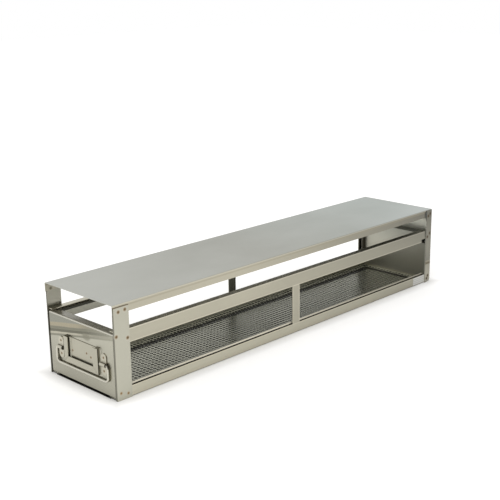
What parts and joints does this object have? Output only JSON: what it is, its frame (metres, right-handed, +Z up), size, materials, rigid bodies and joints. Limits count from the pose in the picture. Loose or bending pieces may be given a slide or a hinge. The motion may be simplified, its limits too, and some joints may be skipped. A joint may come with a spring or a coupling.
{
  "type": "freezer drawer rack",
  "caption": "Stainless steel freezer rack: an open sheet-metal housing with one full-length drawer, a card holder and a wire bail on its front.",
  "frame": {"origin": "bottom centre of the housing", "axes": "+X to the right seen from the front, +Y from the drawer front to the back panel, +Z up"},
  "size_m": [0.1442, 0.6761, 0.1255],
  "materials": {
    "cover_steel": "satin mill finish",
    "frame_steel": "satin mill finish",
    "front_steel": "bright mill finish",
    "drawer_steel": "bright mill finish",
    "floor_steel": "dull mill finish",
    "fitting_steel": "satin",
    "wire_steel": "drawn bright wire",
    "blank_label": "matt white"
  },
  "bodies": {
    "housing": {"top_cover": "cover_steel", "front_post_left": "frame_steel", "front_post_right": "frame_steel", "side_panel_left": "frame_steel", "side_panel_right": "frame_steel", "back_panel": "frame_steel", "front_sill": "frame_steel", "rear_sill": "frame_steel", "label_sticker": "blank_label"},
    "drawer": {"drawer_front": "front_steel", "drawer_side_left": "drawer_steel", "drawer_side_right": "drawer_steel", "drawer_back": "drawer_steel", "perforated_floor": "floor_steel", "card_holder": "fitting_steel", "handle_bracket_left": "fitting_steel", "handle_bracket_right": "fitting_steel"},
    "bail": {"bail_handle": "wire_steel"}
  },
  "joints": [
    {"name": "drawer_slide", "type": "slide", "parent": "housing", "child": "drawer", "axis": [0, -1, 0], "range_m": [0, 0.6]},
    {"name": "bail_swing", "type": "hinge", "parent": "drawer", "child": "bail", "pos_m": [0, -0.3369, 0.0433], "axis": [-1, 0, 0], "range_deg": [0, 180]}
  ]
}
